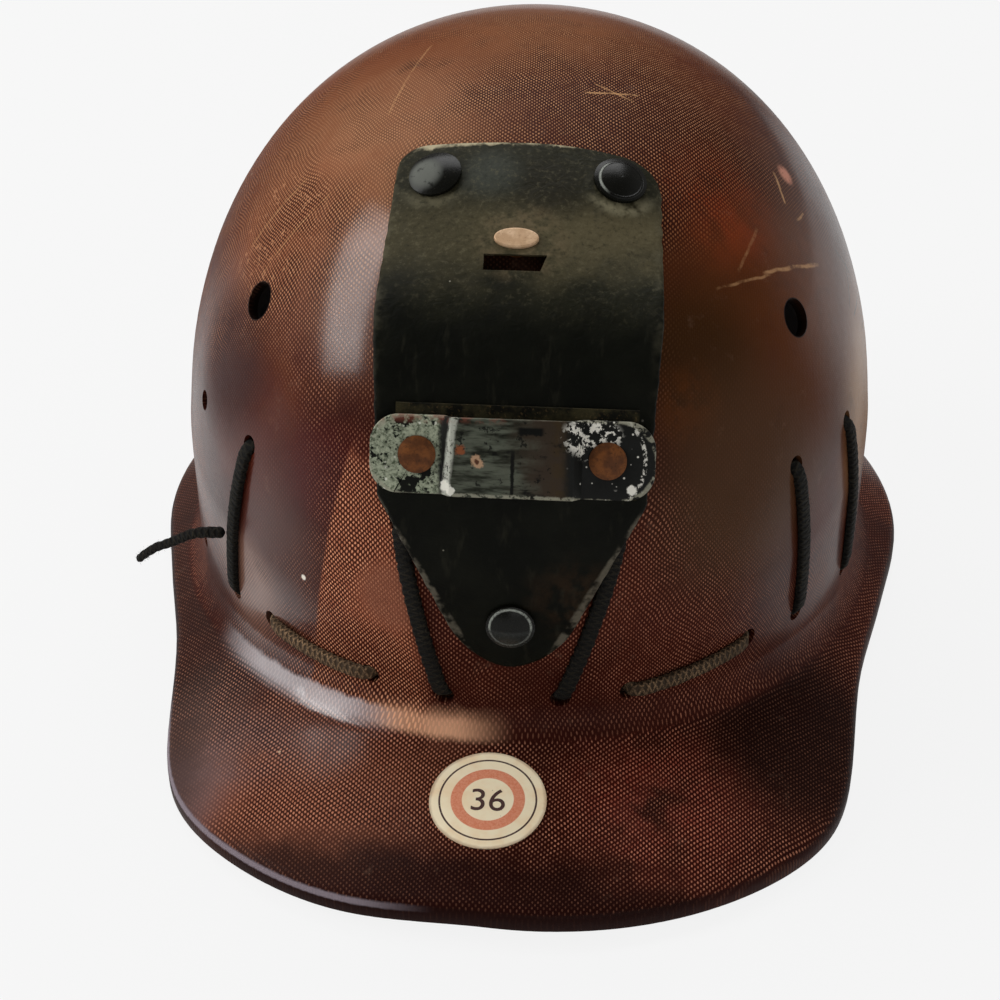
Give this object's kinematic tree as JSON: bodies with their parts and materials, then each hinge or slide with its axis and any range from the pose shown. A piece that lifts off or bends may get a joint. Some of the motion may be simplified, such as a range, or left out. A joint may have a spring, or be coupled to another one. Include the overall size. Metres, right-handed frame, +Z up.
{
  "type": "miner helmet",
  "caption": "Old brimmed mining helmet of varnished canvas laminate with a leather lamp bracket, riveted hook bar, lacing through the shell and a leather and webbing head cradle.",
  "frame": {"origin": "middle of the foot of the shell's bounding box, on the surface that the helmet stands on", "axes": "+Z up, -Y towards the visor, +X towards the right of the picture, which is the wearer's left"},
  "size_m": [0.244, 0.3288, 0.1797],
  "materials": {
    "laminate": "varnished canvas laminate, worn gloss",
    "paper": "aged matte paper",
    "black_leather": "worn black leather",
    "dark_steel": "black paint, worn to dull steel",
    "worn_bar": "black paint flaked off dull steel",
    "tan_rivet": "tan painted, worn",
    "lace": "dark waxed thong, frayed",
    "cradle_leather": "aged brown leather",
    "copper": "tarnished copper",
    "stud_black": "black japanned, chipped",
    "webbing": "cotton webbing"
  },
  "bodies": {
    "root": {"shell": "laminate", "paper_label": "paper", "lamp_bracket_leather": "black_leather", "bar_backing_strip": "dark_steel", "lamp_hook_bar": "worn_bar", "slot_burr": "copper", "slot_rivet": "tan_rivet", "shell_lace": "lace", "lace_tail": "lace", "lace_knot": "lace", "crown_patch": "cradle_leather", "sweatband": "cradle_leather", "bar_rivet_left": "copper", "bar_burr_left": "copper", "bar_rivet_right": "copper", "bar_burr_right": "copper", "bracket_stud_top_left": "stud_black", "stud_washer_top_left": "dark_steel", "bracket_stud_top_right": "stud_black", "stud_washer_top_right": "dark_steel", "bracket_stud_bottom": "stud_black", "stud_washer_bottom": "dark_steel", "cradle_strap_lateral": "webbing", "cradle_strap_right_front": "webbing", "cradle_strap_left_front": "webbing"}
  },
  "joints": []
}
